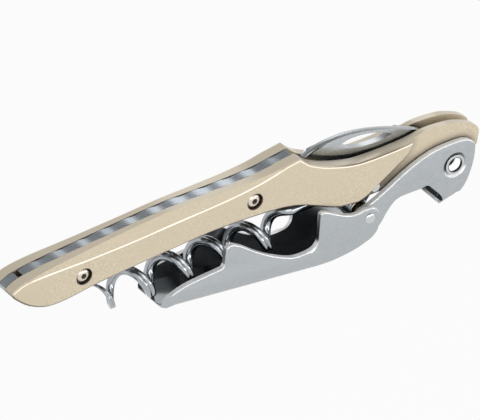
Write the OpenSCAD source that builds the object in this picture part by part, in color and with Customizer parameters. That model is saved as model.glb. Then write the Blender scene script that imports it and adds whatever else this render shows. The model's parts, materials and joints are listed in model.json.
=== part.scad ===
// Folded two-step lever corkscrew, standing on the back of its lever.
// The profile plane has x along the handle, y towards the spine and z towards the near side,
// with the end pin's axis at its zero.

/* [Handle] */
// Length of the handle from tail to hood
handle_len = 125; // [118:1:135]
// Thickness of one cheek
cheek_t = 3; // [2.6:0.1:3.6]
// Width of the slot between the cheeks
slot_w = 2.7; // [2.5:0.1:3]
// Greatest width of the bevel along the spine
bevel_w = 2.7; // [1.5:0.1:3.2]
// Greatest depth of that bevel into the cheek
bevel_d = 1.5; // [0.8:0.1:2]
// Broken edge round the rest of a cheek
edge_break = 0.35; // [0.2:0.05:0.5]
// Depth of the recess that the lever's link folds into
recess_d = 1.4; // [1:0.1:1.6]
// Length of one scallop along the spring's back
scallop_len = 6.2; // [4:0.2:9]
// Depth of a scallop
scallop_d = 0.4; // [0.2:0.05:0.6]

/* [Pins and screws] */
// Radius of the hollow end pin
end_pin_r = 2.2; // [2.1:0.05:2.4]
// Radius of the lanyard eye through the end pin
eye_r = 1.7; // [1.4:0.05:1.8]
// Radius of the worm's pin
worm_pin_r = 1.1; // [0.9:0.05:1.2]
// Radius of the lever's hinge rivet
rivet_r = 1; // [0.8:0.05:1.2]
// Radius of a cheek screw's shank
screw_r = 0.9; // [0.7:0.05:1]
// Radius of a cheek screw's head
head_r = 1.5; // [1.4:0.05:1.6]
// Radius of the counterbore round a screw head
sink_r = 2.05; // [1.9:0.05:2.2]
// Depth of that counterbore
sink_d = 1.4; // [1.2:0.1:1.6]

/* [Lever] */
// Sheet thickness of the link
link_wall = 1.3; // [1.1:0.1:1.4]
// Sheet thickness of the channel lever
boot_wall = 1.25; // [1:0.05:1.4]
// Length of the channel lever from its hinge to its tip
boot_len = 55.2; // [52:0.2:60]
// Radius of the bend between the channel's walls and web
bend_r = 2; // [1.6:0.1:2.2]
// Thickness of a friction washer at the lever's hinge
hinge_washer_t = 0.27; // [0.2:0.01:0.35]
// Wire of the lever's spring
spring_wire = 0.7; // [0.5:0.05:0.8]
// Turns of that spring
spring_turns = 4; // [3:1:5]

/* [Worm] */
// Wire of the worm
worm_wire = 2.5; // [2.2:0.05:2.6]
// Outside diameter of the worm's coil
coil_d = 8.7; // [8:0.1:9]
// Pitch of the coil
pitch = 10.3; // [9.5:0.1:11]
// Turns of the coil
turns = 4.4; // [3.8:0.1:4.6]
// Tilt of the worm below the handle, in degrees
worm_tilt = 7.4; // [6.5:0.1:8]

/* [Knife] */
// Thickness of the foil knife
knife_t = 1.7; // [1.4:0.1:1.9]
// Width of the ground edge
grind_w = 1.8; // [1.2:0.1:2]

/* [Clearances] */
// Radial clearance of a pin that turns
run = 0.05; // [0.03:0.01:0.08]
// Radial clearance of a pin or screw that stays still
fixed_fit = 0.02; // [0.01:0.01:0.05]
// Gap beside a part that turns
side = 0.05; // [0.03:0.01:0.08]
// Gap between the recess and the link
link_gap = 0.15; // [0.1:0.01:0.2]
// Gap between the spring's tongue and the worm's eye
tongue_gap = 0.3; // [0.2:0.05:0.4]

/* [Hidden] */
$fn = 64;
steel = "silver";
paint = "tan";

// Levels across the thickness, each from the middle plane
slot_z = slot_w / 2;
cheek_z = slot_z + cheek_t;
recess_z = cheek_z - recess_d;
link_in_z = recess_z + link_gap;
link_z = link_in_z + link_wall;
boot_in_z = link_z + hinge_washer_t + 2 * side;
boot_z = boot_in_z + boot_wall;
washer_t = slot_z - knife_t / 2 - 2 * side;

// Lengthways places. The grip stretches with the handle's length, and the front stays.
hood_x = 6.8;
waist_x = -43;
nominal_len = 125;
tail_x = hood_x - handle_len;
grip_k = (waist_x - tail_x) / (waist_x - hood_x + nominal_len);
function grip(p) = p[0] < waist_x ? [waist_x + (p[0] - waist_x) * grip_k, p[1]] : p;
function stretch(list) = [for (p = list) grip(p)];

tail_screw_at = grip([-99.3, -3]);
waist_screw_at = grip([-54.5, 4.5]);
worm_at = [-20.9, -1];
hinge_at = [-23.6, -6.9];
web_y = -16.7;

// Smooth curve through points, as a Catmull-Rom spline, without its last point
function knot(p, i) = p[min(max(i, 0), len(p) - 1)];
function blend(a, b, c, d, t) =
    0.5 * (2 * b + (c - a) * t + (2 * a - 5 * b + 4 * c - d) * t * t + (3 * b - a - 3 * c + d) * t * t * t);
function smooth(p, n) = [
    for (i = [0 : len(p) - 2], k = [0 : n - 1]) blend(knot(p, i - 1), p[i], p[i + 1], knot(p, i + 2), k / n)
];
function arc(c, r, a0, a1, n) = [for (k = [0 : n]) c + r * [cos(a0 + (a1 - a0) * k / n), sin(a0 + (a1 - a0) * k / n)]];

// Inward normal of a counterclockwise outline at each of its points, lengthened at corners
function unit(v) = v / norm(v);
function miter(p, i) =
    let (n = len(p), u = unit(p[i] - p[(i + n - 1) % n]), v = unit(p[(i + 1) % n] - p[i]), m = unit(u + v))
    [-m[1], m[0]] / max(0.6, m * u);

// Triangles that fill a counterclockwise outline, cut off it one ear after another
function turn(a, b, c) = (b[0] - a[0]) * (c[1] - a[1]) - (b[1] - a[1]) * (c[0] - a[0]);
function covers(a, b, c, q) = turn(a, b, q) >= 0 && turn(b, c, q) >= 0 && turn(c, a, q) >= 0;
function corner(list, k) = let (n = len(list)) [list[(k + n - 1) % n], list[k % n], list[(k + 1) % n]];
function is_ear(p, t, list) =
    turn(p[t[0]], p[t[1]], p[t[2]]) > 0.0001
    && len([for (i = list) if (i != t[0] && i != t[1] && i != t[2] && covers(p[t[0]], p[t[1]], p[t[2]], p[i])) i]) == 0;
function ears(p, list, k = 0) =
    len(list) == 3 ? [list]
    : let (t = corner(list, k))
    is_ear(p, t, list) ? concat([t], ears(p, [for (i = list) if (i != t[1]) i], k % len(list) + 1))
    : ears(p, list, k + 1);

// Solid between rings of points that have equal counts, counterclockwise seen from +z.
// Level end rings may be concave, and slanting ones are convex.
module skin(rings, level_ends = true) {
    n = len(rings[0]);
    last = len(rings) - 1;
    points = [for (ring = rings) for (p = ring) p];
    all = [for (i = [0 : n - 1]) i];
    low = level_ends ? ears(rings[0], all) : [all];
    high = level_ends ? ears(rings[last], all) : [all];
    walls = [
        for (k = [0 : last - 1], i = [0 : n - 1])
        let (a = k * n + i, b = k * n + (i + 1) % n)
        each [[a, a + n, b + n], [a, b + n, b]]
    ];
    lid = [for (f = high) [for (i = [len(f) - 1 : -1 : 0]) last * n + f[i]]];
    polyhedron(points, concat(low, walls, lid), convexity = 8);
}

// Plate between two levels whose edges are rounded by a radius given for each point
module rounded_plate(outline, edge, low_z, high_z, steps = 3) {
    n = len(outline);
    inward = [for (i = [0 : n - 1]) miter(outline, i)];
    function ring(turn, top) = [
        for (i = [0 : n - 1])
        let (q = outline[i] + inward[i] * edge[i] * (1 - cos(turn)))
        [q[0], q[1], top ? high_z - edge[i] * (1 - sin(turn)) : low_z + edge[i] * (1 - sin(turn))]
    ];
    skin(concat(
        [for (k = [steps : -1 : 0]) ring(90 * k / steps, false)],
        [for (k = [0 : steps]) ring(90 * k / steps, true)]
    ));
}

// Cheek outline. The spine runs from tail to waist, then the waist and hood, then the belly back.
spine = smooth(stretch([
    [-118.2, -2.6], [-116.9, -1.7], [-114.9, -0.7], [-108.8, 0.9], [-100, 2.6], [-91.8, 4.2],
    [-83.8, 5.7], [-75.8, 7.1], [-67.8, 8], [-59.7, 8.9], [-52.5, 10], [-46.4, 11.6], [waist_x, 12.5]
]), 3);
waist = smooth([
    [waist_x, 12.5], [-40.6, 10.7], [-38.6, 9.7], [-34.6, 8.4], [-28.2, 7.3], [-22.5, 7.5],
    [-15.5, 8.4], [-11.5, 9.2], [-8.1, 10.1], [-3.6, 10.4], [0, 10.2], [4.2, 9], [6.2, 7.8]
], 3);
hood_end = smooth([[6.2, 7.8], [hood_x, 6.5], [6.7, 5], [6.5, 3.3], [5.4, 1.8]], 3);
hood_r = 5.2;
belly = smooth(concat([[-2.4, -4.5], [-5, -2.9], [-9, -2.4], [-17.5, -2.4]], stretch([
    [-22, -2.9], [-25.7, -3.2], [-30.9, -3.1], [-34.3, -2.3], [-40.6, -0.2], [-46.5, 0.7],
    [-56, 0.4], [-66.3, -0.6], [-78, -2.6], [-89.7, -4.8], [-96.5, -6.2], [-101.7, -7.6],
    [-106.2, -8.4], [-109.5, -8.3], [-113.2, -7.1], [-115.9, -5.4], [-117.8, -3.8], [-118.2, -2.6]
])), 2);
front_run = concat(waist, hood_end, arc([0, 0], hood_r, 10, -105, 12));
cheek_clockwise = concat(spine, front_run, belly);
spine_n = len(spine);
cheek_outline = [for (i = [len(cheek_clockwise) - 1 : -1 : 0]) cheek_clockwise[i]];

// Bevel along the spine: none at the tail and at the waist corner, greatest between them
function on_spine(i) = len(cheek_outline) - 1 - i < spine_n;
function bevel_share(x) = sin(180 * min(1, max(0, (x - tail_x) / (waist_x - tail_x))));
function bevel_at(i) = on_spine(i) ? max(edge_break, bevel_w * bevel_share(cheek_outline[i][0])) : edge_break;
function depth_at(i) = on_spine(i) ? max(edge_break, bevel_d * bevel_share(cheek_outline[i][0])) : edge_break;

// Step down to the recess, as its upper and lower edges
step_top = [[-12.2, 13], [-12.2, 9.3], [-13.6, 6.4], [-16.2, 4.2], [-19.3, 1.8], [-22.5, -0.6], [-25, -2.3], [-27, -3.4], [-28, -6]];
step_floor = [[-11.2, 13], [-11.2, 9.3], [-11.9, 6.3], [-14, 3.9], [-17, 1.4], [-19.8, -0.9], [-22.2, -2.4], [-24.5, -3.6], [-25.5, -6]];
function recess_ring(step, z) = [for (p = concat(smooth(step, 2), [step[8], [12, -6], [12, 13]])) [p[0], p[1], z]];

module cheek() {
    inward = [for (i = [0 : len(cheek_outline) - 1]) miter(cheek_outline, i)];
    last = len(cheek_outline) - 1;
    difference() {
        skin([
            [for (p = cheek_outline) [p[0], p[1], slot_z]],
            [for (i = [0 : last]) [cheek_outline[i][0], cheek_outline[i][1], cheek_z - depth_at(i)]],
            [for (i = [0 : last]) let (q = cheek_outline[i] + inward[i] * bevel_at(i)) [q[0], q[1], cheek_z]]
        ]);
        skin([
            recess_ring(step_floor, recess_z), recess_ring(step_top, cheek_z + 0.2), recess_ring(step_top, cheek_z + 1)
        ]);
        pin_hole(end_pin_r + fixed_fit, [0, 0]);
        pin_hole(worm_pin_r + fixed_fit, worm_at);
        for (at = [tail_screw_at, waist_screw_at]) {
            pin_hole(screw_r + fixed_fit, at);
            translate([at[0], at[1], cheek_z - sink_d]) cylinder(r = sink_r, h = sink_d + 1);
        }
    }
}

module pin_hole(r, at) {
    translate([at[0], at[1], -10]) cylinder(r = r, h = 20);
}

// Profile plane to standing position: the lever's web is level with the floor
module stand() {
    translate([-(tail_x + hood_x) / 2, 0, -web_y]) rotate([90, 0, 0]) children();
}

module front_cheek() {
    color(paint) stand() cheek();
}

module rear_cheek() {
    color(paint) stand() mirror([0, 0, 1]) cheek();
}

// Back of the spring: follows the spine, with scallops between its two ends
spring_tail_x = -113.6;
function wave(x) = scallop_d * (1 - cos(360 * (x - waist_x) / scallop_len)) / 2;
spine_full = concat(spine, [[waist_x, 12.5]]);
function spine_y(x) = lookup(x, spine_full);
spring_top = [for (k = [0 : 96]) let (x = waist_x - 0.6 + (grip([spring_tail_x, 0])[0] - waist_x + 0.6) * k / 96) [x, spine_y(x) - wave(x)]];
spring_low = smooth(stretch([
    [-112.4, -4.4], [-108, -5.8], [-100, -5.6], [-90, -2.8], [-75, 0.6], [-60, 2.2], [-52, 2.2], [-46, 3.6], [waist_x, 3.9]
]), 3);
eye_out_r = 2.9;
tongue_t = 1.4;
tongue_y = worm_at[1] + eye_out_r + tongue_gap;
tongue_low = smooth([[waist_x, 3.9], [-38, 3.1], [-32, 2.5], [-26, tongue_y + 0.1], [worm_at[0] - 1, tongue_y]], 3);
tongue_high = smooth([
    [worm_at[0] + 1.5, tongue_y + 0.1], [worm_at[0] + 1, tongue_y + tongue_t - 0.2], [-26, tongue_y + tongue_t + 0.2],
    [-32, 2.5 + tongue_t + 0.1], [-38, 3.3 + tongue_t + 0.1], [-41.5, 5.8], [waist_x, 8.6], [waist_x - 0.6, 11.2]
], 3);

module back_spring() {
    color(steel) stand() difference() {
        translate([0, 0, -slot_z]) linear_extrude(slot_w) polygon(concat(spring_low, tongue_low, tongue_high, spring_top));
        pin_hole(screw_r + fixed_fit, tail_screw_at);
        pin_hole(screw_r + fixed_fit, waist_screw_at);
    }
}

// Tail spacer: fills the slot's end beyond the spring
tail_gap = 0.25;
module tail_spacer() {
    outer = [for (p = cheek_outline) if (p[0] < grip([spring_tail_x - tail_gap, 0])[0]) p];
    color(steel) stand() translate([0, 0, -slot_z]) linear_extrude(slot_w) polygon(outer);
}

// Six-lobe button head screw from the near side, and the barrel nut that it enters
head_h = 1;
nut_r = 1.5;
module cheek_screw(at) {
    seat = cheek_z - sink_d;
    color(steel) stand() translate([at[0], at[1], 0]) difference() {
        union() {
            translate([0, 0, -seat]) cylinder(r = screw_r, h = 2 * seat + 0.1);
            translate([0, 0, seat]) rotate_extrude()
                polygon(concat([[0, 0]], [for (k = [0 : 6]) [head_r * cos(15 * k), 0.25 + (head_h - 0.25) * sin(15 * k)]], [[0, head_h]]));
            translate([0, 0, seat]) cylinder(r = head_r, h = 0.25);
        }
        translate([0, 0, seat + 0.35]) {
            cylinder(r = 0.5, h = 2);
            for (k = [0 : 5]) rotate(60 * k) translate([0.5, 0, 0]) cylinder(r = 0.2, h = 2, $fn = 16);
        }
    }
}

module cheek_nut(at) {
    seat = cheek_z - sink_d;
    color(steel) stand() translate([at[0], at[1], 0]) mirror([0, 0, 1]) difference() {
        translate([0, 0, seat]) cylinder(r = nut_r, h = head_h);
        translate([0, 0, seat - 1]) cylinder(r = screw_r + fixed_fit, h = 1.6);
        translate([-nut_r, -0.2, seat + head_h - 0.4]) cube([2 * nut_r, 0.4, 1]);
    }
}

module tail_screw() { cheek_screw(tail_screw_at); }
module waist_screw() { cheek_screw(waist_screw_at); }
module tail_nut() { cheek_nut(tail_screw_at); }
module waist_nut() { cheek_nut(waist_screw_at); }

// Worm pin, its ends just proud of the step
worm_pin_z = recess_z + 0.7;
module worm_pin() {
    color(steel) stand() translate([worm_at[0], worm_at[1], 0]) intersection() {
        cylinder(r = worm_pin_r, h = 2 * worm_pin_z, center = true);
        sphere(r = worm_pin_z + 0.05);
    }
}

// Hollow end pin with a flange at each end, sunk in the link's dimples
flange_r = 2.6;
flange_t = 0.35;
module end_pin() {
    color(steel) stand() difference() {
        union() {
            cylinder(r = end_pin_r, h = 2 * link_z, center = true);
            for (s = [0, 1]) mirror([0, 0, s]) translate([0, 0, link_z - flange_t]) cylinder(r1 = flange_r, r2 = flange_r - 0.15, h = flange_t);
        }
        cylinder(r = eye_r, h = 3 * link_z, center = true);
    }
}

// Foil knife: ring round the end pin, a neck cut clear of the lever's beak, an arched spine
beak_clear_r = 9.35;
knife_low = smooth([
    [-3.1, -1.4], [-5, -0.4], [-8, 0.4], [-10.5, 1.4], [-14, 3.3], [-17.5, 4.6], [-22, 5.5], [-27, 6.2],
    [-33, 7.6], [-37, 9], [-39.7, 10.1]
], 2);
knife_high = smooth([
    [-39.7, 10.1], [-38.3, 10.9], [-36, 11.9], [-33, 12.6], [-28.5, 13.2], [-22.7, 12.9], [-17, 11.9],
    [-13.6, 11], [-9.3, 9.9], [-7.2, 8.8], [-6.1, 7.2]
], 2);
knife_neck = concat(arc([0, 0], beak_clear_r, 130, 157, 5), [[-5.8, 2.6], [-3.5, 2]]);
tang_r = 3.5;
knife_clockwise = concat(knife_low, knife_high, knife_neck, arc([0, 0], tang_r, 145, -155, 22));
knife_outline = [for (i = [len(knife_clockwise) - 1 : -1 : 0]) knife_clockwise[i]];
function ground(i) = let (k = len(knife_outline) - 1 - i) k > 9 && k < 20 ? grind_w : 0.15;
finger_hole = concat(
    smooth([[-30.2, 10.6], [-28.4, 11.6], [-25.5, 12.1], [-22, 12], [-18.5, 11.3], [-15.8, 10.4]], 3),
    smooth([[-15.8, 10.4], [-18.5, 9.5], [-22.5, 9.1], [-26.5, 9.4], [-30.2, 10.6]], 3)
);

module knife() {
    n = len(knife_outline);
    inward = [for (i = [0 : n - 1]) miter(knife_outline, i)];
    land = 0.15;
    function ring(z, share) = [for (i = [0 : n - 1]) let (q = knife_outline[i] + inward[i] * ground(i) * share) [q[0], q[1], z]];
    color(steel) stand() difference() {
        skin([ring(-knife_t / 2, 1), ring(-land, 0), ring(land, 0), ring(knife_t / 2, 1)]);
        translate([0, 0, -5]) linear_extrude(10) polygon(finger_hole);
        pin_hole(end_pin_r + run, [0, 0]);
    }
}

module knife_washer() {
    translate([0, 0, knife_t / 2 + side]) difference() {
        cylinder(r = tang_r, h = washer_t);
        translate([0, 0, -1]) cylinder(r = end_pin_r + fixed_fit, h = 3);
    }
}

module front_knife_washer() {
    color(steel) stand() knife_washer();
}

module rear_knife_washer() {
    color(steel) stand() mirror([0, 0, 1]) knife_washer();
}

// Link of the lever: two walls joined by a web under the neck and by the beak's lip
link_outline = concat(
    smooth([
        [-25.9, -6.4], [-25.5, -8.4], [-24.3, -10.2], [-22.3, -11.3], [-20.2, -11.2], [-18.9, -9.8], [-18.2, -8.4],
        [-17.2, -6.9], [-16.2, -5.7], [-15.1, -4.9], [-13.5, -4.5], [-11.7, -4.3], [-8.7, -4]
    ], 2),
    [[-8.7, -4], [-7.6, -3.6], [-6.7, -3.8], [-5.2, -5.2], [-3.7, -6.6], [-2.8, -7.7]],
    smooth([
        [-2.4, -8.7], [-0.4, -8.5], [1.4, -7.8], [2.6, -6.8], [3.8, -4.9], [4.7, -2.2], [5.2, 0.4],
        [5.3, 2.8], [5, 4.4], [3.7, 5.5], [1.7, 6.1], [-2.4, 5.8], [-6.8, 4.9], [-11.7, 2.7], [-16.3, -0.3],
        [-20.5, -3.2], [-23.4, -4.8], [-25.2, -5.4], [-25.9, -6.4]
    ], 2)
);
function link_edge(p) = p[1] < -7.4 && p[0] > -1.5 && p[0] < 2 ? 1 : p[1] < -7.4 && p[0] > -2.5 ? 0.6 : 0.3;
lip_from = -84;
lip_to = -112;
lip_r = 6.8;
dimple_d = 0.35;

module lever_link() {
    color(steel) stand() difference() {
        rounded_plate(link_outline, [for (p = link_outline) link_edge(p)], -link_z, link_z);
        difference() {
            translate([-40, -20, -link_in_z]) cube([60, 40, 2 * link_in_z]);
            // Web under the neck
            translate([0, 0, -link_z]) linear_extrude(2 * link_z) polygon([
                [-15.3, -5.2], [-9, -4.2], [-9, -4.2 + link_wall], [-11.7, -4.4 + link_wall], [-13.8, -4.6 + link_wall], [-15.8, -5.4 + link_wall]
            ]);
            // Beak's web, outside the circle that the hood turns in
            translate([0, 0, -link_z]) linear_extrude(2 * link_z)
                polygon(concat(arc([0, 0], lip_r, lip_to, lip_from, 4), arc([0, 0], 2 * lip_r, lip_from, lip_to, 4)));
        }
        pin_hole(end_pin_r + run, [0, 0]);
        pin_hole(rivet_r + run, hinge_at);
        for (s = [0, 1]) mirror([0, 0, s]) translate([0, 0, link_z - flange_t - side])
            cylinder(r1 = flange_r + 0.1, r2 = flange_r + 0.6, h = flange_t + side + 0.01);
    }
}

module hinge_bush() {
    color("goldenrod") stand() translate([hinge_at[0], hinge_at[1], 0]) difference() {
        cylinder(r = rivet_r + 0.6, h = 2 * (link_in_z - side), center = true);
        cylinder(r = rivet_r + run, h = 10, center = true);
    }
}

// Torsion spring round the bush: one leg lies on the neck's web, the other near the channel's web
spring_r = rivet_r + 0.6 + spring_wire / 2 + 0.1;
spring_sides = 6;
module hinge_spring() {
    wire = spring_wire / 2;
    rise = spring_wire * 1.08;
    a0 = 200;
    a1 = a0 + 360 * spring_turns + 90;
    z0 = -rise * (spring_turns + 0.25) / 2;
    coil = [for (a = [a0 : 15 : a1]) [a, 0]];
    stations = concat([[a0, -2.8], [a0, -0.01]], coil, [[a1, 0.01], [a1, 4.2]]);
    rings = [
        for (st = stations)
        let (
            a = st[0],
            radial = [cos(a), sin(a), 0],
            along = [-sin(a), cos(a), 0],
            c = [hinge_at[0], hinge_at[1], z0 + rise * (a - a0) / 360] + spring_r * radial + st[1] * along
        )
        [for (k = [0 : spring_sides - 1]) let (q = 360 * k / spring_sides) c + wire * (cos(q) * radial + sin(q) * [0, 0, 1])]
    ];
    color(steel) stand() skin(rings, false);
}

module hinge_washer() {
    translate([hinge_at[0], hinge_at[1], link_z + side]) difference() {
        cylinder(r = 2, h = hinge_washer_t);
        translate([0, 0, -1]) cylinder(r = rivet_r + run, h = 3);
    }
}

module front_hinge_washer() {
    color("goldenrod") stand() hinge_washer();
}

module rear_hinge_washer() {
    color("goldenrod") stand() mirror([0, 0, 1]) hinge_washer();
}

// Hinge rivet with a domed head on each wall of the channel
dome_r = 1.4;
dome_h = 0.5;
module hinge_rivet() {
    color(steel) stand() translate([hinge_at[0], hinge_at[1], 0]) {
        cylinder(r = rivet_r, h = 2 * boot_z, center = true);
        for (s = [0, 1]) mirror([0, 0, s]) translate([0, 0, boot_z]) rotate_extrude()
            polygon(concat([[0, 0]], [for (k = [0 : 6]) [dome_r * cos(15 * k), dome_h * sin(15 * k)]]));
    }
}

// Channel lever: web level under the worm, walls with the two steps that rest on a bottle's lip
boot_tip_x = hinge_at[0] - boot_len;
boot_k = (boot_len - 13.8) / (55.2 - 13.8);
function reach(list) = [for (p = list) p[0] < -37.4 ? [-37.4 + (p[0] + 37.4) * boot_k, p[1]] : p];
boot_low = reach([[-78.3, -16.2], [-76.8, web_y], [-74.5, web_y], [-56, web_y]]);
boot_rear = concat(smooth([[-37, web_y], [-33, -16.5], [-29.1, -15.8], [-25.8, -14.9], [-23.4, -13.8], [-21.8, -12.4], [-21, -10.6], [-21, -8.5]], 3),
    arc(hinge_at, 2.6, 0, 100, 8));
boot_ear = smooth([[-25.2, -4.4], [-26.6, -4.8], [-28.5, -4.9], [-31.3, -4.2], [-35.4, -2.4]], 3);
boot_step_1 = concat([[-35.4, -2.4], [-36.6, -2.1], [-37.3, -2.5]], reach(smooth([[-37.2, -8.6], [-37.5, -10], [-39, -11.3], [-42.8, -11.9], [-45.9, -11.3], [-50.1, -9.7], [-54.4, -7.5],
    [-58, -5.3], [-60.4, -4.2]], 3)));
boot_step_2 = reach(concat([[-60.4, -4.2], [-61.6, -4.2], [-62.4, -4.9]], smooth([[-62.5, -8.6], [-62.9, -9.5], [-64.4, -9.9], [-67.2, -10.4], [-72.7, -11.6],
    [-76.4, -13.2], [-78.2, -14.6], [-78.8, -15.5], [-78.3, -16.2]], 3)));
boot_outline = concat(boot_low, boot_rear, boot_ear, boot_step_1, boot_step_2);
wall_edge = 0.3;
function boot_edge(p) =
    p[1] < web_y + 0.6 ? min(bend_r, 0.5 + 0.45 * (p[0] - boot_tip_x))
    : p[0] < -40 ? wall_edge
    : wall_edge + (bend_r - wall_edge) * min(1, max(0, (-10 - p[1]) / 4));
web_end_x = -23.6;
tip_round = 3.4;

// What the rounding in plan takes off a corner of the tip
module tip_corner() {
    over = 0.05;
    translate([-over, -over, 0]) difference() {
        translate([-1, -1, 0]) cube([tip_round + 1, tip_round + 1, 8]);
        translate([tip_round, tip_round, -1]) cylinder(r = tip_round, h = 10);
    }
}

module boot_lever() {
    color(steel) stand() difference() {
        rounded_plate(boot_outline, [for (p = boot_outline) boot_edge(p)], -boot_z, boot_z);
        for (s = [0, 1]) mirror([0, 0, s]) translate([boot_tip_x, web_y - 1, boot_z]) rotate([-90, 0, 0]) tip_corner();
        // Trough above the web, open at the rear so that the lever can swing down
        translate([0, 0, -boot_in_z]) linear_extrude(2 * boot_in_z) polygon(concat(
            [[boot_tip_x + 4.4, web_y + boot_wall], [-37, web_y + boot_wall], [-33, -16.5 + boot_wall], [-29.4, -15.9 + boot_wall], [web_end_x - 1, -14.1 + boot_wall], [web_end_x, -18], [-10, -18]],
            [[-10, 5], [boot_tip_x - 3, 5], [boot_tip_x - 3, -13.6], [boot_tip_x + 1.2, -14.2], [boot_tip_x + 2.4, -14.7]]
        ));
        pin_hole(rivet_r + fixed_fit, hinge_at);
    }
}

// Worm: straight shank from the eye, a ramp into the helix, a point drawn out over the last turn
worm_sides = 10;
coil_r = (coil_d - worm_wire) / 2;
shank_len = 23.5;
ramp = 4;
coil_len = ramp / 2 + turns * pitch;
turn_rate = 360 / pitch;
taper_len = 1.15 * pitch;
eye_t = slot_w - 2 * side - 0.2;
function turned(s) = s < shank_len ? 0 : s < shank_len + ramp ? turn_rate * pow(s - shank_len, 2) / (2 * ramp) : turn_rate * (s - shank_len - ramp / 2);
function turn_speed(s) = s < shank_len ? 0 : s < shank_len + ramp ? turn_rate * (s - shank_len) / ramp : turn_rate;
worm_end = shank_len + coil_len;
function wire_at(s) = let (left = worm_end - s) worm_wire / 2 * (left > taper_len ? 1 : 0.1 + 0.9 * pow(left / taper_len, 0.8));
worm_along = [-cos(worm_tilt), -sin(worm_tilt), 0];
worm_up = [-sin(worm_tilt), cos(worm_tilt), 0];
worm_side = [0, 0, -1];
worm_stations = concat([1.5, 8, 16, shank_len - 1], [for (k = [0 : 6]) shank_len + ramp * k / 7], [for (k = [0 : floor(turns * 20)]) shank_len + ramp + k * (coil_len - ramp) / floor(turns * 20)]);

module worm() {
    rings = [
        for (s = worm_stations)
        let (
            phi = turned(s),
            radial = cos(phi) * worm_up + sin(phi) * worm_side,
            around = -sin(phi) * worm_up + cos(phi) * worm_side,
            tangent = unit(worm_along + coil_r * turn_speed(s) * PI / 180 * around),
            across = cross(tangent, radial),
            c = [worm_at[0], worm_at[1], 0] + s * worm_along + coil_r * (radial - worm_up)
        )
        [for (k = [0 : worm_sides - 1]) let (q = 360 * k / worm_sides) c + wire_at(s) * (cos(q) * radial + sin(q) * across)]
    ];
    color(steel) stand() difference() {
        union() {
            skin(rings, false);
            translate([worm_at[0], worm_at[1], -eye_t / 2]) cylinder(r = eye_out_r, h = eye_t);
        }
        pin_hole(worm_pin_r + run, worm_at);
    }
}

front_cheek();
rear_cheek();
back_spring();
tail_spacer();
tail_screw();
waist_screw();
tail_nut();
waist_nut();
worm_pin();
end_pin();
knife();
front_knife_washer();
rear_knife_washer();
lever_link();
hinge_bush();
hinge_spring();
front_hinge_washer();
rear_hinge_washer();
hinge_rivet();
boot_lever();
worm();
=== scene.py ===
import json
import math

import bmesh
import bpy
from mathutils import Matrix, Vector


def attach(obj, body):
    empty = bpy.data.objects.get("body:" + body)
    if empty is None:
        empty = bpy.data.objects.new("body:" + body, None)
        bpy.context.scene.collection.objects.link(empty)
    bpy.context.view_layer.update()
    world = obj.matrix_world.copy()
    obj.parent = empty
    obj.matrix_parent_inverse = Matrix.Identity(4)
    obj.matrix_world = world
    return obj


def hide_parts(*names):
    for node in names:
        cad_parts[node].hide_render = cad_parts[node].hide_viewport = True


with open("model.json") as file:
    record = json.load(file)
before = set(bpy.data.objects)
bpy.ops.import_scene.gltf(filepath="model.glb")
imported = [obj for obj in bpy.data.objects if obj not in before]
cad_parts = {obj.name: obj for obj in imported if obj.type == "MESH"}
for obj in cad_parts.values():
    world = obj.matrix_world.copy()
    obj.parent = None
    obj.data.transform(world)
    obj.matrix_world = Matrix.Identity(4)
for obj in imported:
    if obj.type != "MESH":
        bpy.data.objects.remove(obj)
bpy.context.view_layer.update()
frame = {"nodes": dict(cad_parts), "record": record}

# Sizes and places are written in millimetres of the shared frame, and this turns them to metres
MM = 0.001

# X and Z of the axes along Y that shapes and patterns turn about
TAIL_SCREW = (-43.6, 13.7)
WAIST_SCREW = (1.2, 21.2)
END_PIN = (55.7, 16.7)

# Mouth of the beak: the corner where it starts, the way along its edge and the way in towards the pin
MOUTH_CORNER = Vector((49.0, 0, 12.9))
MOUTH_ALONG = Vector((0.731, 0, -0.682))
MOUTH_INWARD = Vector((0.682, 0, 0.731))

# Sockets of a Mix node that blends colours, by number because its other sockets share their names
SHARE, UNDER, OVER = 0, 6, 7


def hex_colour(code):
    """An sRGB hex value as the linear colour that a shader takes."""
    channels = [int(code[i:i + 2], 16) / 255 for i in (1, 3, 5)]
    return tuple(c / 12.92 if c <= 0.04045 else ((c + 0.055) / 1.055) ** 2.4 for c in channels) + (1,)


def add_node(tree, kind, inputs=None, **settings):
    """Adds a node. An input is a value, a hex colour, a socket, or a node for its first live output."""
    made = tree.nodes.new("ShaderNode" + kind)
    for name, value in settings.items():
        setattr(made, name, value)
    for socket, value in (inputs or {}).items():
        if isinstance(value, bpy.types.Node):
            value = next(output for output in value.outputs if output.enabled)
        if isinstance(value, bpy.types.NodeSocket):
            tree.links.new(value, made.inputs[socket])
        else:
            made.inputs[socket].default_value = hex_colour(value) if isinstance(value, str) else value
    return made


def new_material(name):
    """An empty material, its node tree and the place that its patterns read."""
    material = bpy.data.materials.new(name)
    material.use_nodes = True
    tree = material.node_tree
    tree.nodes.clear()
    return material, tree, add_node(tree, "TexCoord").outputs["Object"]


def masked(tree, strength, *limits):
    """A mask: its strength where each value is past the last figure beside it, and 0 before the first."""
    for value, none, full in limits:
        strength = add_node(tree, "MapRange", {
            "Value": value, "From Min": none, "From Max": full, "To Max": strength})
    return strength


def near_axis(tree, place, axis, full, none):
    """1 within the radius full of an axis along Y, falling to 0 at the radius none."""
    flat = add_node(tree, "VectorMath", {0: place, 1: (1, 0, 1)}, operation="MULTIPLY")
    away = add_node(tree, "VectorMath", {0: flat, 1: (axis[0] * MM, 0, axis[1] * MM)}, operation="DISTANCE")
    return masked(tree, 1.0, (away, none * MM, full * MM))


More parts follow.
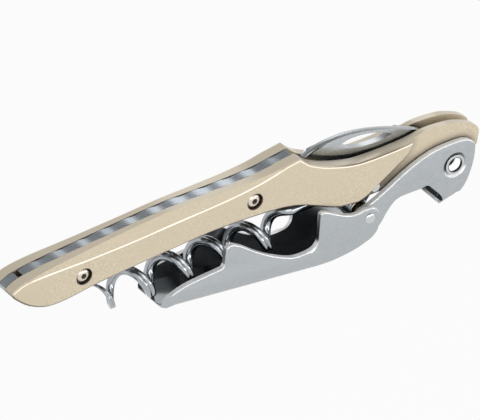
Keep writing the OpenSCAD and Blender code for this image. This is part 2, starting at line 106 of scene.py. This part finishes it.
def champagne_lacquer():
    """Champagne metallic lacquer sprayed on die-cast cheeks: a satin sheen, its tone broken by fine flake."""
    material, tree, place = new_material("champagne_metallic_lacquer")
    # Flake of about 0.35 mm, coarser than the real 0.05 mm so that it shows, in clouds of about 11 mm
    flake = add_node(tree, "TexNoise", {"Vector": place, "Scale": 2.9 / MM, "Detail": 3.0, "Roughness": 0.7})
    cloud = add_node(tree, "TexNoise", {"Vector": place, "Scale": 0.09 / MM, "Detail": 2.0})
    speckle = masked(tree, 1.0, (flake, 0.32, 0.68))
    tone = add_node(tree, "Mix", {SHARE: speckle, UNDER: "#bfb094", OVER: "#dccfb8"}, data_type="RGBA")
    # Which way the surface faces, and where it lies
    normal = add_node(tree, "SeparateXYZ", {0: add_node(tree, "TexCoord").outputs["Normal"]})
    upward = normal.outputs["Z"]
    sideways = add_node(tree, "Math", {0: normal.outputs["Y"]}, operation="ABSOLUTE")
    position = add_node(tree, "SeparateXYZ", {0: place})
    along = position.outputs["X"]
    off_middle = add_node(tree, "Math", {0: position.outputs["Y"]}, operation="ABSOLUTE")
    # Painted shade on the floor of the recess beside the neck of the link, darker there
    recess = masked(tree, 0.85, (off_middle, 4.3 * MM, 4.2 * MM), (along, 46 * MM, 39 * MM),
                    (along, 22 * MM, 26 * MM), (sideways, 0.6, 0.7))
    # The crease between the face and the edges above it, neither flat nor facing down
    slanted = add_node(tree, "Math", {0: sideways, 1: 0.993}, operation="LESS_THAN")
    above = add_node(tree, "Math", {0: upward, 1: 0.04}, operation="GREATER_THAN")
    slope = add_node(tree, "Math", {0: slanted, 1: above}, operation="MULTIPLY")
    crease = masked(tree, slope, (sideways, 0.88, 0.91))
    tail_rim = near_axis(tree, place, TAIL_SCREW, 1.95, 2.2)
    waist_rim = near_axis(tree, place, WAIST_SCREW, 1.95, 2.2)
    layers = (
        (masked(tree, 1.0, (cloud, 0.3, 0.8)), "#cdbfa5"),
        # Painted shade: a dark line round the screws, in their counterbores
        (add_node(tree, "Math", {0: tail_rim, 1: waist_rim}, operation="MAXIMUM"), "#5a5044"),
        # Painted light: paler where it faces up, and painted shade, browner, where it faces down on the slope
        # to the link's recess
        (masked(tree, 1.0, (upward, 0.6, 0.9)), "#e4d7bf"),
        (masked(tree, 1.0, (upward, -0.15, -0.3)), "#5a5040"),
        (recess, "#6a5c46"),
        # Painted highlight: a pale line over the crease
        (crease, "#fff6e4"),
    )
    for mask, colour in layers:
        tone = add_node(tree, "Mix", {SHARE: mask, UNDER: tone, OVER: colour}, data_type="RGBA")
    # Painted shade in the corners, as under the edge of the folded link
    nook = add_node(tree, "AmbientOcclusion", {"Distance": 2.2 * MM}, samples=8).outputs["AO"]
    unshaded = masked(tree, 1.0, (nook, 0.42, 0.95))
    tone = add_node(tree, "Mix", {SHARE: unshaded, UNDER: "#30261a", OVER: tone}, data_type="RGBA")
    bump = add_node(tree, "Bump", {"Strength": 0.06, "Distance": 0.1 * MM, "Height": flake})
    coarse = add_node(tree, "MapRange", {"Value": flake, "To Min": 0.36, "To Max": 0.5})
    paint = add_node(tree, "BsdfPrincipled", {
        "Base Color": tone, "Metallic": 0.25, "Roughness": coarse, "Coat Weight": 0.7, "Coat Roughness": 0.12,
        "Normal": bump})
    add_node(tree, "OutputMaterial", {"Surface": paint})
    return material


def satin_chrome(name, inner_half, trough_level):
    """Satin chrome on pressed steel: an even sheen, with a painted highlight on the rolled rims. Inside the
    fold the plating is smoother, and painted shade darkens it there, as it mirrors only itself."""
    material, tree, place = new_material(name)
    position = add_node(tree, "SeparateXYZ", {0: place})
    x, y, z = (position.outputs[axis] for axis in "XYZ")
    # Fine satin grain along the part, 0.2 mm across
    drawn_out = add_node(tree, "Mapping", {"Vector": place, "Scale": (1, 1, 6)})
    grain = add_node(tree, "TexNoise", {"Vector": drawn_out, "Scale": 0.8 / MM, "Detail": 2.0})
    tone = add_node(tree, "Mix", {SHARE: grain, UNDER: "#a6abae", OVER: "#c0c4c6"}, data_type="RGBA")
    # Inside the channel: between the walls and above the trough's floor, which rises towards the hinge by
    # 0.42
    off_middle = add_node(tree, "Math", {0: y}, operation="ABSOLUTE")
    between_walls = add_node(tree, "Math", {0: off_middle, 1: inner_half * MM}, operation="LESS_THAN")
    trough = add_node(tree, "MapRange", {
        "Value": x, "From Min": 25.5 * MM, "From Max": 75.5 * MM,
        "To Min": trough_level * MM, "To Max": (trough_level + 0.42 * 50) * MM})
    above_trough = add_node(tree, "Math", {0: z, 1: trough}, operation="GREATER_THAN")
    in_channel = add_node(tree, "Math", {0: between_walls, 1: above_trough}, operation="MULTIPLY")
    # Painted shade inside the channel, less dark towards the open end as a painted reflection of the floor
    enclosed = masked(tree, 1.0, (x, -22 * MM, -8 * MM))
    channel_shade = add_node(tree, "Mix", {SHARE: enclosed, UNDER: "#777b7e", OVER: "#33363a"}, data_type="RGBA")
    # The lip in the mouth of the beak stays in the shade
    from_corner = add_node(tree, "VectorMath", {0: place, 1: MOUTH_CORNER * MM}, operation="SUBTRACT")
    along = add_node(tree, "VectorMath", {0: from_corner, 1: MOUTH_ALONG}, operation="DOT_PRODUCT")
    inward = add_node(tree, "VectorMath", {0: from_corner, 1: MOUTH_INWARD}, operation="DOT_PRODUCT")
    behind_skin = add_node(tree, "Math", {0: y, 1: -4.12 * MM}, operation="GREATER_THAN")
    lip = masked(tree, behind_skin, (along, -0.7 * MM, -0.4 * MM), (along, 6.6 * MM, 6.3 * MM),
                 (inward, -1.15 * MM, -1.0 * MM), (inward, 0.1 * MM, -0.05 * MM))
    # Painted highlight on the rolled rims where they face up
    normal = add_node(tree, "SeparateXYZ", {0: add_node(tree, "TexCoord").outputs["Normal"]})
    sideways = add_node(tree, "Math", {0: normal.outputs["Y"]}, operation="ABSOLUTE")
    outside_channel = add_node(tree, "Math", {0: 1.0, 1: in_channel}, operation="SUBTRACT")
    rim = masked(tree, outside_channel, (sideways, 0.95, 0.88), (normal.outputs["Z"], 0.1, 0.35))
    for mask, colour in ((in_channel, channel_shade), (lip, "#1e2124"), (rim, "#f6f8f9")):
        tone = add_node(tree, "Mix", {SHARE: mask, UNDER: tone, OVER: colour}, data_type="RGBA")
    # The painted shade inside the channel and the painted highlight on the rims are held back from full
    # metal, so that their tone shows over what they mirror
    channel_shade_held = add_node(tree, "Math", {0: in_channel, 1: 0.4}, operation="MULTIPLY")
    rim_held = add_node(tree, "Math", {0: rim, 1: 0.75}, operation="MULTIPLY")
    held = add_node(tree, "Math", {0: channel_shade_held, 1: rim_held}, operation="MAXIMUM")
    metal = add_node(tree, "Math", {0: 1.0, 1: held}, operation="SUBTRACT")
    coarse = add_node(tree, "MapRange", {"Value": in_channel, "To Min": 0.3, "To Max": 0.16})
    bump = add_node(tree, "Bump", {"Strength": 0.04, "Distance": 0.1 * MM, "Height": grain})
    plating = add_node(tree, "BsdfPrincipled", {
        "Base Color": tone, "Metallic": metal, "Roughness": coarse, "Normal": bump})
    add_node(tree, "OutputMaterial", {"Surface": plating})
    return material


def polished_wire():
    """Bright chrome on the worm's drawn wire: clear reflections with faint draw lines round the wire."""
    material, tree, place = new_material("bright_chrome_wire")
    # Draw lines of about 2 mm, coarser than the real ones so that they show
    lines = add_node(tree, "TexNoise", {"Vector": place, "Scale": 0.5 / MM, "Detail": 3.0})
    tone = add_node(tree, "Mix", {SHARE: lines, UNDER: "#93979b", OVER: "#bcc0c4"}, data_type="RGBA")
    coarse = add_node(tree, "MapRange", {"Value": lines, "To Min": 0.08, "To Max": 0.18})
    plating = add_node(tree, "BsdfPrincipled", {"Base Color": tone, "Metallic": 1.0, "Roughness": coarse})
    add_node(tree, "OutputMaterial", {"Surface": plating})
    return material


def brushed_steel(name, low, high, roughness, stretch, seam=50.0):
    """Ground stainless steel: the grit leaves fine lines along the part, which widen its highlights.
    Past the distance seam from the middle plane, painted shade darkens the gap where it meets a cheek."""
    material, tree, place = new_material(name)
    drawn_out = add_node(tree, "Mapping", {"Vector": place, "Scale": stretch})
    # Grinding lines a few tenths of a millimetre wide, coarser than the real grit so that they show
    lines = add_node(tree, "TexNoise", {"Vector": drawn_out, "Scale": 0.9 / MM, "Detail": 3.0})
    tone = add_node(tree, "Mix", {SHARE: lines, UNDER: low, OVER: high}, data_type="RGBA")
    across = add_node(tree, "SeparateXYZ", {0: place}).outputs["Y"]
    off_middle = add_node(tree, "Math", {0: across}, operation="ABSOLUTE")
    # Painted shade in the gap where the steel meets a cheek
    meeting = masked(tree, 1.0, (off_middle, seam * MM, (seam + 0.06) * MM))
    tone = add_node(tree, "Mix", {SHARE: meeting, UNDER: tone, OVER: "#241f1a"}, data_type="RGBA")
    coarse = add_node(tree, "MapRange", {
        "Value": lines, "To Min": roughness - 0.06, "To Max": roughness + 0.08})
    bump = add_node(tree, "Bump", {"Strength": 0.03, "Distance": 0.1 * MM, "Height": lines})
    steel = add_node(tree, "BsdfPrincipled", {
        "Base Color": tone, "Metallic": 1.0, "Roughness": coarse, "Normal": bump})
    add_node(tree, "OutputMaterial", {"Surface": steel})
    return material


def screw_polish():
    """Turned, polished screw steel, warm from a painted reflection of the lacquer, with painted shade in its
    six-lobe socket.
    """
    material, tree, place = new_material("turned_screw_steel")
    # Turning marks, six to the millimetre
    marks = add_node(tree, "TexNoise", {"Vector": place, "Scale": 6 / MM, "Detail": 2.0})
    # Painted reflection: a warm cast from the lacquer
    tone = add_node(tree, "Mix", {SHARE: marks, UNDER: "#cbc0ae", OVER: "#ece4d6"}, data_type="RGBA")
    # Painted shade in the six-lobe socket
    tail_socket = near_axis(tree, place, TAIL_SCREW, 0.5, 0.8)
    waist_socket = near_axis(tree, place, WAIST_SCREW, 0.5, 0.8)
    socket = add_node(tree, "Math", {0: tail_socket, 1: waist_socket}, operation="MAXIMUM")
    tone = add_node(tree, "Mix", {SHARE: socket, UNDER: tone, OVER: "#4e463a"}, data_type="RGBA")
    coarse = add_node(tree, "MapRange", {"Value": marks, "To Min": 0.2, "To Max": 0.34})
    steel = add_node(tree, "BsdfPrincipled", {"Base Color": tone, "Metallic": 0.8, "Roughness": coarse})
    add_node(tree, "OutputMaterial", {"Surface": steel})
    return material


def pin_polish():
    """Polished steel of the pins. A painted highlight glows in the lit part of the end pin's bore, and
    painted shade fills the rest of the bore and dark lines round it and its flange."""
    material, tree, place = new_material("polished_pin_steel")
    # Polishing haze, three clouds to the millimetre
    haze = add_node(tree, "TexNoise", {"Vector": place, "Scale": 3 / MM, "Detail": 2.0})
    tone = add_node(tree, "Mix", {SHARE: haze, UNDER: "#bfc2c4", OVER: "#d6d8d9"}, data_type="RGBA")
    # Painted light on the end pin: a glowing painted highlight in the bore, painted shade in the rest of it,
    # and dark lines of painted shade round its edge and its flange
    bore = near_axis(tree, place, END_PIN, 1.7, 1.72)
    bore_edge = near_axis(tree, place, END_PIN, 1.86, 1.96)
    flange = near_axis(tree, place, END_PIN, 2.42, 2.5)
    beyond = near_axis(tree, place, END_PIN, 3.0, 3.1)
    bore_line = add_node(tree, "Math", {0: bore_edge, 1: bore}, operation="SUBTRACT")
    flange_line = add_node(tree, "Math", {0: beyond, 1: flange}, operation="SUBTRACT")
    lines = add_node(tree, "Math", {0: bore_line, 1: flange_line}, operation="MAXIMUM")
    across = add_node(tree, "SeparateXYZ", {0: place}).outputs["Y"]
    off_middle = add_node(tree, "Math", {0: across}, operation="ABSOLUTE")
    lit = masked(tree, bore, (off_middle, 3.95 * MM, 3.75 * MM), (off_middle, 1.6 * MM, 1.9 * MM))
    shaded = add_node(tree, "Math", {0: bore, 1: lit}, operation="SUBTRACT")
    for mask, colour in ((lines, "#3c4043"), (shaded, "#303436"), (lit, "#ffffff")):
        tone = add_node(tree, "Mix", {SHARE: mask, UNDER: tone, OVER: colour}, data_type="RGBA")
    metal = add_node(tree, "Math", {0: 1.0, 1: lit}, operation="SUBTRACT")
    glow = add_node(tree, "Math", {0: lit, 1: 0.4}, operation="MULTIPLY")
    coarse = add_node(tree, "MapRange", {"Value": haze, "To Min": 0.12, "To Max": 0.24})
    steel = add_node(tree, "BsdfPrincipled", {
        "Base Color": tone, "Metallic": metal, "Roughness": coarse,
        "Emission Color": "#ffffff", "Emission Strength": glow})
    add_node(tree, "OutputMaterial", {"Surface": steel})
    return material


def satin_brass():
    """Turned brass of the bush and washers: a warm satin with a cloudy, slightly tarnished tone."""
    material, tree, place = new_material("turned_brass")
    # Tarnish in clouds of about 2.5 mm
    cloud = add_node(tree, "TexNoise", {"Vector": place, "Scale": 0.4 / MM, "Detail": 3.0})
    tone = add_node(tree, "Mix", {SHARE: cloud, UNDER: "#57482a", OVER: "#7a6638"}, data_type="RGBA")
    coarse = add_node(tree, "MapRange", {"Value": cloud, "To Min": 0.28, "To Max": 0.45})
    brass = add_node(tree, "BsdfPrincipled", {"Base Color": tone, "Metallic": 1.0, "Roughness": coarse})
    add_node(tree, "OutputMaterial", {"Surface": brass})
    return material


LACQUER = champagne_lacquer()
CHANNEL_CHROME = satin_chrome("satin_chrome_channel", 4.77, 0.9)
LINK_CHROME = satin_chrome("satin_chrome_link", 3.12, -50.0)
WIRE_CHROME = polished_wire()
SPRING_STEEL = brushed_steel("polished_spring_steel", "#8d959c", "#b6bcc2", 0.27, (1, 3, 1), 1.2)
KNIFE_STEEL = brushed_steel("ground_knife_steel", "#b2b6b8", "#c2c6c8", 0.26, (0.5, 6, 6))
SCREW_STEEL = screw_polish()
PIN_STEEL = pin_polish()
BRASS = satin_brass()

# What each solid is dressed with: its material, its record slot, the angle past which an edge stays
# crisp, and the width in millimetres that a crisp edge is broken by
DRESS = {
    "front_cheek": (LACQUER, "cheek_paint", 24, 0.26),
    "rear_cheek": (LACQUER, "cheek_paint", 24, 0.26),
    "back_spring": (SPRING_STEEL, "spring_steel", 30, 0.08),
    "tail_spacer": (SPRING_STEEL, "spring_steel", 30, 0.08),
    "tail_screw": (SCREW_STEEL, "screw_steel", 30, 0.04),
    "waist_screw": (SCREW_STEEL, "screw_steel", 30, 0.04),
    "tail_nut": (SCREW_STEEL, "screw_steel", 30, 0.05),
    "waist_nut": (SCREW_STEEL, "screw_steel", 30, 0.05),
    "worm_pin": (PIN_STEEL, "pin_steel", 30, 0.05),
    "end_pin": (PIN_STEEL, "pin_steel", 30, 0.08),
    "knife": (KNIFE_STEEL, "knife_steel", 24, 0.06),
    "front_knife_washer": (PIN_STEEL, "pin_steel", 30, 0.04),
    "rear_knife_washer": (PIN_STEEL, "pin_steel", 30, 0.04),
    "lever_link": (LINK_CHROME, "lever_steel", 35, 0.06),
    "hinge_bush": (BRASS, "brass_fitting", 30, 0.05),
    "hinge_spring": (PIN_STEEL, "spring_steel", 60, 0),
    "front_hinge_washer": (BRASS, "brass_fitting", 30, 0.03),
    "rear_hinge_washer": (BRASS, "brass_fitting", 30, 0.03),
    "hinge_rivet": (PIN_STEEL, "pin_steel", 30, 0.03),
    "boot_lever": (CHANNEL_CHROME, "lever_steel", 35, 0.06),
    "worm": (WIRE_CHROME, "worm_steel", 60, 0),
}


def eased(share):
    """A share kept between 0 and 1 that starts and ends gently."""
    share = min(1.0, max(0.0, share))
    return share * share * (3 - 2 * share)


# The scallops along the back spring: where their row ends, and the length and depth of each
SCALLOPS_END = 12.7
SCALLOP_LENGTH = 6.2
SCALLOP_DEPTH = 0.4


def shallow_scallops(bm):
    """The scallops along the spring's back are filled by not quite half, as if worn."""
    for v in bm.verts:
        x = v.co.x / MM
        middle_of_strip = 14.5 + 0.152 * (x + 57.3)
        if x < SCALLOPS_END - 0.05 and v.co.z / MM > middle_of_strip:
            dip = SCALLOP_DEPTH * (1 - math.cos(2 * math.pi * (x - SCALLOPS_END) / SCALLOP_LENGTH)) / 2
            v.co.z += 0.45 * dip * MM


# The screws' heads: where a head starts, how far it is raised, the share that it is widened by, and the
# radius round its socket that keeps its size
HEAD_START = -3.25
HEAD_RAISED = 0.32
HEAD_WIDENED = 0.14
SOCKET_RADIUS = 0.9


def raised_head(bm):
    """The screw's button head stands nearly level with the cheek and nearly fills its counterbore."""
    shank_x = bm.verts[:][0].co.x
    middle_x, middle_z = min((TAIL_SCREW, WAIST_SCREW), key=lambda axis: abs(axis[0] * MM - shank_x))
    for v in bm.verts:
        if v.co.y < HEAD_START * MM:
            v.co.y -= HEAD_RAISED * MM
            if math.hypot(v.co.x / MM - middle_x, v.co.z / MM - middle_z) > SOCKET_RADIUS:
                v.co.x += HEAD_WIDENED * (v.co.x - middle_x * MM)
                v.co.z += HEAD_WIDENED * (v.co.z - middle_z * MM)


# The channel's tip: half the width inside its walls, where the tip starts, and the web's upper side
CHANNEL_HALF = 4.7
TIP_START = -18.6
WEB_TOP = 1.25


def split_across(bm, y):
    """Cuts every face along the plane at y millimetres from the middle."""
    bmesh.ops.bisect_plane(
        bm, geom=bm.verts[:] + bm.edges[:] + bm.faces[:], plane_co=(0, y * MM, 0), plane_no=(0, 1, 0))


def open_tip(bm):
    """The channel's trough runs out over the tip, so that the web ends as plain sheet."""
    for y in (-CHANNEL_HALF - 0.05, -CHANNEL_HALF, CHANNEL_HALF, CHANNEL_HALF + 0.05):
        split_across(bm, y)
    for v in bm.verts:
        in_trough = abs(v.co.y) < (CHANNEL_HALF + 0.01) * MM
        if in_trough and v.co.x < TIP_START * MM and v.co.z > WEB_TOP * MM:
            v.co.z = WEB_TOP * MM


# The cheeks: how far out the edges of their faces lie at least, and how wide those are rolled over
FACE_OUT = 4.3
CREASE_ROLL = 0.2


def rounded_crease(bm):
    """The crease between the cheek's face and the edges round it is rolled over by hand polishing."""
    bmesh.ops.dissolve_limit(bm, angle_limit=math.radians(0.4), verts=bm.verts, edges=bm.edges)
    crease = []
    for edge in bm.edges:
        if len(edge.link_faces) != 2:
            continue
        flat, slope = sorted((abs(f.normal.y) for f in edge.link_faces), reverse=True)
        if flat > 0.9995 and 0.5 < slope < 0.95 and min(abs(v.co.y) for v in edge.verts) > FACE_OUT * MM:
            crease.append(edge)
    bmesh.ops.bevel(
        bm, geom=crease, affect="EDGES", offset=CREASE_ROLL * MM, offset_type="OFFSET", segments=3,
        profile=0.5, clamp_overlap=False, material=-1)


# The beak's mouth: the inner side of the near wall's skin, the mouth's length and the lip's reach
NEAR_SKIN = -3.95
MOUTH_LENGTH = 7.4
LIP_REACH = 1.3


def deep_mouth(bm):
    """Behind the near wall's skin the mouth of the beak has a lip that reaches further out."""
    split_across(bm, NEAR_SKIN)
    for v in bm.verts:
        from_corner = v.co / MM - MOUTH_CORNER
        along = from_corner.dot(MOUTH_ALONG)
        inward = from_corner.dot(MOUTH_INWARD)
        behind_skin = v.co.y > (NEAR_SKIN - 0.01) * MM
        if behind_skin and -1 < along < MOUTH_LENGTH and abs(inward) < 0.9:
            reach = LIP_REACH * min(eased((along + 0.9) / 1.2), eased((MOUTH_LENGTH - along) / 1.2))
            v.co -= reach * MM * MOUTH_INWARD


# Solids whose copies are reshaped before their edges are broken
RESHAPE = {
    "front_cheek": rounded_crease,
    "rear_cheek": rounded_crease,
    "lever_link": deep_mouth,
    "back_spring": shallow_scallops,
    "tail_screw": raised_head,
    "waist_screw": raised_head,
    "boot_lever": open_tip,
}


def dress(node_name):
    """A merged, smoothed copy of a solid, its flat faces made whole and its crisp edges just broken."""
    bm = bmesh.new()
    bm.from_mesh(frame["nodes"][node_name].data)
    bmesh.ops.remove_doubles(bm, verts=bm.verts, dist=0.5e-6)
    if node_name in RESHAPE:
        RESHAPE[node_name](bm)
    bmesh.ops.dissolve_limit(bm, angle_limit=math.radians(0.4), verts=bm.verts, edges=bm.edges)
    return finish(bm, node_name)


def finish(bm, node_name):
    """The piece that replaces a solid: its mesh, material, broken edges and body."""
    material, slot, crisp, edge = DRESS[node_name]
    bm.normal_update()
    for face in bm.faces:
        face.smooth = True
    for seam in bm.edges:
        seam.smooth = seam.is_manifold and seam.calc_face_angle() < math.radians(crisp)
        if material == LACQUER and seam.smooth:
            # The long bevel stays flat up to its crease
            slopes = sorted(abs(f.normal.y) for f in seam.link_faces)
            seam.smooth = not (slopes[0] < 0.885 < slopes[1])
    mesh = bpy.data.meshes.new(node_name + "_finish")
    bm.to_mesh(mesh)
    bm.free()
    mesh.materials.clear()
    mesh.materials.append(material)
    piece = bpy.data.objects.new(node_name + "_finish", mesh)
    bpy.context.scene.collection.objects.link(piece)
    if edge:
        broken = piece.modifiers.new("broken_edge", "BEVEL")
        broken.width = edge * MM
        broken.segments = 3
        broken.limit_method = "ANGLE"
        broken.angle_limit = math.radians(crisp)
        broken.use_clamp_overlap = True
        broken.harden_normals = True
    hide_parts(node_name)
    body = next(b for b, members in frame["record"]["behaviour"]["bodies"].items() if node_name in members)
    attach(piece, body)
    return piece


# The worm: its pin and the way it runs
WORM_PIN = Vector((34.8, 0, 15.7))
WORM_TILT = math.radians(6.2)
WORM_ALONG = Vector((-math.cos(WORM_TILT), 0, -math.sin(WORM_TILT)))
WORM_UP = Vector((-math.sin(WORM_TILT), 0, math.cos(WORM_TILT)))
WORM_FAR = Vector((0, 1, 0))

# Its coil: the straight shank, the ramp over which the turning starts, the pitch, the radius and the end
SHANK = 20.1
RAMP = 4.0
PITCH = 10.35
COIL_RADIUS = 3.4
WORM_END = SHANK + RAMP / 2 + 4.92 * PITCH

# Its wire: where it leaves the eye, the step between rings, the points of a ring, and its radius
WIRE_START = 1.9
WIRE_STEP = 0.25
WIRE_SIDES = 36
WIRE_RADIUS = 1.24

# Its groove: the depth as a share of the radius, and the angle that it spreads over
GROOVE_DEPTH = 0.36
GROOVE_ANGLE = 0.3


def worm_turn(s):
    """Angle in radians that the wire has turned through at a length along the axis."""
    rate = 2 * math.pi / PITCH
    if s < SHANK:
        return 0.0
    if s < SHANK + RAMP:
        return rate * (s - SHANK) ** 2 / (2 * RAMP)
    # The last stretch turns a little faster, as it is drawn in to the point
    return rate * (s - SHANK - RAMP / 2) + 0.9 * eased((s - WORM_END) / (0.45 * PITCH) + 1)


def worm_centre(s):
    """The wire's middle: a shank, then a coil that opens a little and closes again over its last turn."""
    turn = worm_turn(s)
    closing = 0.6 * eased((s - WORM_END + 0.7 * PITCH) / (0.7 * PITCH))
    radius = COIL_RADIUS + 0.1 * eased((s - 26) / 14) - closing
    radial = math.cos(turn) * WORM_UP + math.sin(turn) * WORM_FAR
    return WORM_PIN + s * WORM_ALONG + radius * radial - COIL_RADIUS * WORM_UP, radial


def wire_ring(s):
    """Points round the wire at a length along the axis, from the groove on its outer side."""
    centre, radial = worm_centre(s)
    tangent = (worm_centre(s + 0.05)[0] - worm_centre(s - 0.05)[0]).normalized()
    across = tangent.cross(radial)
    # The wire thins to its point over about the last turn
    left = (WORM_END - s) / (1.05 * PITCH)
    radius = WIRE_RADIUS * (1.0 if left > 1 else 0.08 + 0.92 * max(left, 0.0) ** 0.5)
    groove = GROOVE_DEPTH * eased((s - SHANK + 4) / 6)
    points = []
    for k in range(WIRE_SIDES):
        q = 2 * math.pi * k / WIRE_SIDES
        from_groove = (q + math.pi) % (2 * math.pi) - math.pi
        out = radius * (1 - groove * math.exp(-(from_groove / GROOVE_ANGLE) ** 2))
        points.append((centre + out * (math.cos(q) * radial + math.sin(q) * across)) * MM)
    return points


def drawn_wire(bm):
    """The wire: a disc whose edge is extruded ring by ring, and closed at the point."""
    ring = bmesh.ops.create_circle(bm, cap_ends=True, segments=WIRE_SIDES, radius=WIRE_RADIUS * MM)["verts"]
    edges = list({edge for v in ring for edge in v.link_edges})
    for k in range(int((WORM_END - WIRE_START) / WIRE_STEP) + 1):
        if k > 0:
            fresh = set(bmesh.ops.extrude_edge_only(bm, edges=edges)["geom"])
            ring = [next(e.other_vert(v) for e in v.link_edges if e.other_vert(v) in fresh) for v in ring]
            edges = list({edge for v in ring for edge in v.link_edges if edge.other_vert(v) in fresh})
        for v, point in zip(ring, wire_ring(WIRE_START + WIRE_STEP * k)):
            v.co = point
    bmesh.ops.contextual_create(bm, geom=edges)


def pierced_eye(bm):
    """The eye round the worm's pin: a turned ring, its outer rims rounded."""
    bore, outside, half = 1.15, 2.9, 1.2
    section = [(bore, -half), (outside - 0.3, -half), (outside - 0.08, -half + 0.08), (outside, -half + 0.3)]
    section += [(r, -h) for r, h in reversed(section)]
    corners = [bm.verts.new((WORM_PIN + Vector((r, h, 0))) * MM) for r, h in section]
    sides = [bm.edges.new((corners[k - 1], corner)) for k, corner in enumerate(corners)]
    bmesh.ops.spin(
        bm, geom=corners + sides, cent=WORM_PIN * MM, axis=(0, 1, 0), angle=2 * math.pi, steps=64,
        use_merge=True)


def grooved_worm():
    """Worm of round wire with a groove along its outer side, drawn out to a point, on a pierced eye."""
    bm = bmesh.new()
    drawn_wire(bm)
    pierced_eye(bm)
    bmesh.ops.recalc_face_normals(bm, faces=bm.faces)
    return finish(bm, "worm")


for part in DRESS:
    if part == "worm":
        grooved_worm()
    else:
        dress(part)
    solid = frame["nodes"][part].data
    solid.materials.clear()
    solid.materials.append(DRESS[part][0])


# The floor lies low enough for the worm and the levers to swing down clear of it
FLOOR_LEVEL = -100


def studio_floor():
    """Pale floor that reads white to the camera and to metal, and still takes a soft shadow."""
    material, tree, place = new_material("pale_studio_floor")
    # Mottling of about 33 mm, as on painted board
    grain = add_node(tree, "TexNoise", {"Vector": place, "Scale": 0.03 / MM})
    tone = add_node(tree, "Mix", {SHARE: grain, UNDER: "#f4f4f3", OVER: "#fafafa"}, data_type="RGBA")
    matt = add_node(tree, "BsdfDiffuse", {"Color": tone})
    white = add_node(tree, "Emission", {"Color": "#ffffff", "Strength": 1.0})
    rays = add_node(tree, "LightPath").outputs
    mirrored = add_node(
        tree, "Math", {0: rays["Is Glossy Ray"], 1: rays["Is Transmission Ray"]}, operation="MAXIMUM")
    seen = add_node(tree, "Math", {0: rays["Is Camera Ray"], 1: mirrored}, operation="MAXIMUM")
    whitened = add_node(tree, "Math", {0: seen, 1: 0.92}, operation="MULTIPLY")
    surface = add_node(tree, "MixShader", {0: whitened, 1: matt, 2: white})
    add_node(tree, "OutputMaterial", {"Surface": surface})
    bm = bmesh.new()
    bmesh.ops.create_grid(bm, x_segments=1, y_segments=1, size=8.0)
    mesh = bpy.data.meshes.new("studio_floor")
    bm.to_mesh(mesh)
    bm.free()
    mesh.materials.append(material)
    floor = bpy.data.objects.new("studio_floor", mesh)
    bpy.context.scene.collection.objects.link(floor)
    floor.location = (0, 0, FLOOR_LEVEL * MM)


def studio_world():
    """A pale studio: white at the level of the floor, darker overhead."""
    world = bpy.data.worlds.new("pale_studio")
    bpy.context.scene.world = world
    world.use_nodes = True
    tree = world.node_tree
    tree.nodes.clear()
    heading = add_node(tree, "TexCoord").outputs["Generated"]
    height = add_node(tree, "SeparateXYZ", {0: heading}).outputs["Z"]
    walls = "#ffffff"
    for low, high, colour in ((0.3, 0.65, "#b8b8b8"), (0.65, 0.95, "#868686")):
        risen = masked(tree, 1.0, (height, low, high))
        walls = add_node(tree, "Mix", {SHARE: risen, UNDER: walls, OVER: colour}, data_type="RGBA")
    sky = add_node(tree, "Background", {"Color": walls, "Strength": 0.95})
    add_node(tree, "OutputWorld", {"Surface": sky})


def soft_lamp(name, place, width, height, power, aim=(0, 0, 0.02)):
    """A softbox that faces the object. Places and sizes are in metres, and the power is in watts."""
    lamp = bpy.data.lights.new(name, "AREA")
    lamp.shape = "RECTANGLE"
    lamp.size = width
    lamp.size_y = height
    lamp.energy = power
    box = bpy.data.objects.new(name, lamp)
    bpy.context.scene.collection.objects.link(box)
    box.location = place
    box.rotation_mode = "QUATERNION"
    box.rotation_quaternion = (Vector(aim) - Vector(place)).to_track_quat("-Z", "Y")


studio_floor()
studio_world()
soft_lamp("low_front_strip", (0.5, -0.86, 0.12), width=1.2, height=0.1, power=2.2)
soft_lamp("front_top_strip", (0.2, -0.66, 0.76), width=1.3, height=0.24, power=0.9)
soft_lamp("back_right_softbox", (0.45, 0.70, 0.56), width=0.26, height=0.26, power=0.35)
soft_lamp("front_softbox", (-0.35, -0.8, 0.35), width=0.6, height=0.6, power=1.7, aim=(0, 0, 0.015))

# Camera at the photo's angle: its three axes and the point in the middle of the picture
right = Vector((0.8300, -0.5520, 0.0741)).normalized()
back = Vector((-0.5096, -0.6992, 0.4999)).normalized()
up = back.cross(right)
middle = Vector((14.81, 19.88, 2.83)) * MM

# Width of what the picture shows, the camera's distance in metres and the width of its sensor in millimetres
WIDTH_SEEN = 107.87 * MM
DISTANCE = 3.0
SENSOR = 36

lens = bpy.data.cameras.new("photo_camera")
lens.sensor_width = SENSOR
lens.lens = SENSOR * DISTANCE / WIDTH_SEEN
lens.clip_start = 0.1
lens.clip_end = 60
camera = bpy.data.objects.new("photo_camera", lens)
bpy.context.scene.collection.objects.link(camera)
turned = Matrix((right, up, back)).transposed().to_4x4()
camera.matrix_world = Matrix.Translation(middle + back * DISTANCE) @ turned
bpy.context.scene.camera = camera
bpy.context.scene.view_settings.view_transform = "Standard"
